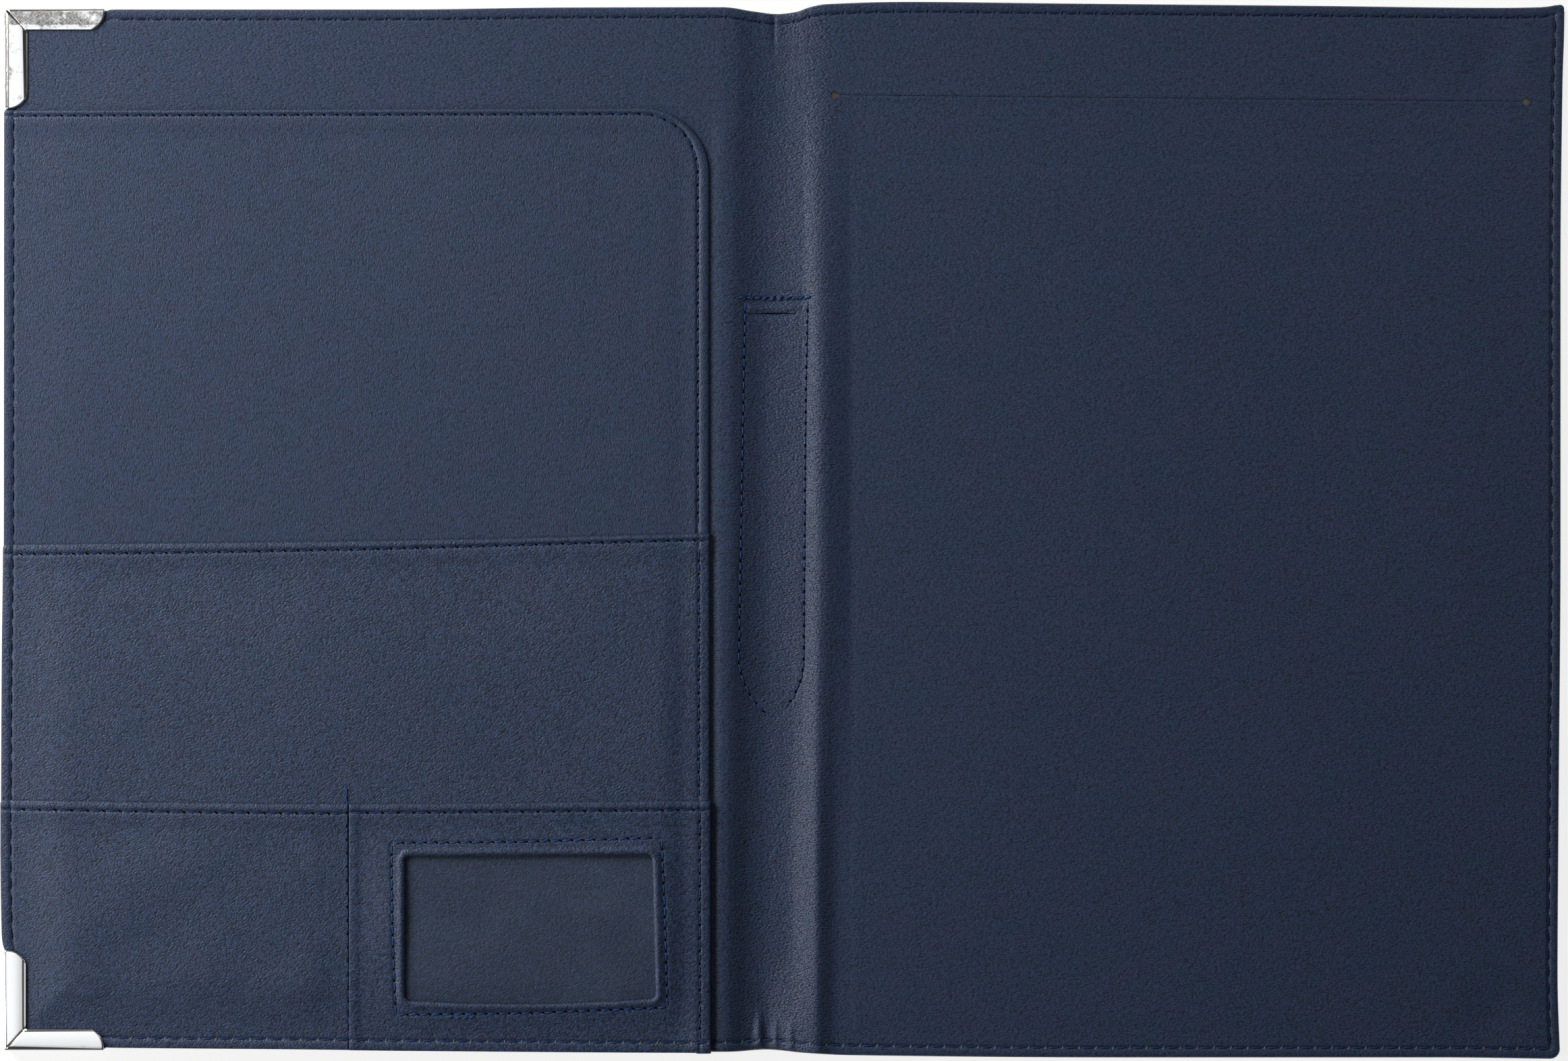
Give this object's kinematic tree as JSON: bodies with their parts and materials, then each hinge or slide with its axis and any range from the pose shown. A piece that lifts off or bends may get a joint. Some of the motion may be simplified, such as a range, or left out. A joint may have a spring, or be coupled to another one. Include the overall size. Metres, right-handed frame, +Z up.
{
  "type": "document folder",
  "caption": "Open A4 document folder in imitation leather, with metal corners, stacked pockets, a card window, a pen pocket in the spine and a slit for a pad.",
  "frame": {"origin": "middle of the open folder's underside", "axes": "+X from the front cover to the back cover, +Y to the top of the pages, +Z up out of the open folder's inside"},
  "size_m": [0.472, 0.3194, 0.0108],
  "materials": {
    "outer_leather": "navy imitation leather with a fine pebbled grain",
    "lining_leather": "navy imitation leather with a fine pebbled grain",
    "pocket_leather": "navy imitation leather with a fine pebbled grain, softly creased",
    "foam_padding": "matt grey foam",
    "grey_board": "matt grey board",
    "white_card": "matt off-white card",
    "clear_film": "clear soft film",
    "plated_metal": "nickel-plated, lightly scratched"
  },
  "bodies": {
    "back_cover": {"back_outer_cover": "outer_leather", "back_padding": "foam_padding", "back_board": "grey_board", "pad_slit_card": "white_card", "back_lining": "lining_leather"},
    "spine": {"spine_outer_cover": "outer_leather", "spine_padding": "foam_padding", "pen_pocket_backing": "lining_leather", "spine_lining": "lining_leather"},
    "front_cover": {"front_outer_cover": "outer_leather", "front_padding": "foam_padding", "front_board": "grey_board", "front_lining": "lining_leather", "large_pocket": "pocket_leather", "middle_pocket": "pocket_leather", "lower_left_pocket": "pocket_leather", "card_pocket": "pocket_leather", "window_film": "clear_film", "top_corner_clip": "plated_metal", "bottom_corner_clip": "plated_metal"}
  },
  "joints": [
    {"name": "back_hinge", "type": "hinge", "parent": "back_cover", "child": "spine", "pos_m": [0.009, 0, 0.00748], "axis": [0, 1, 0], "range_deg": [0, 90]},
    {"name": "front_hinge", "type": "hinge", "parent": "spine", "child": "front_cover", "pos_m": [-0.0128, 0, 0.006], "axis": [0, 1, 0], "range_deg": [0, 90]}
  ]
}
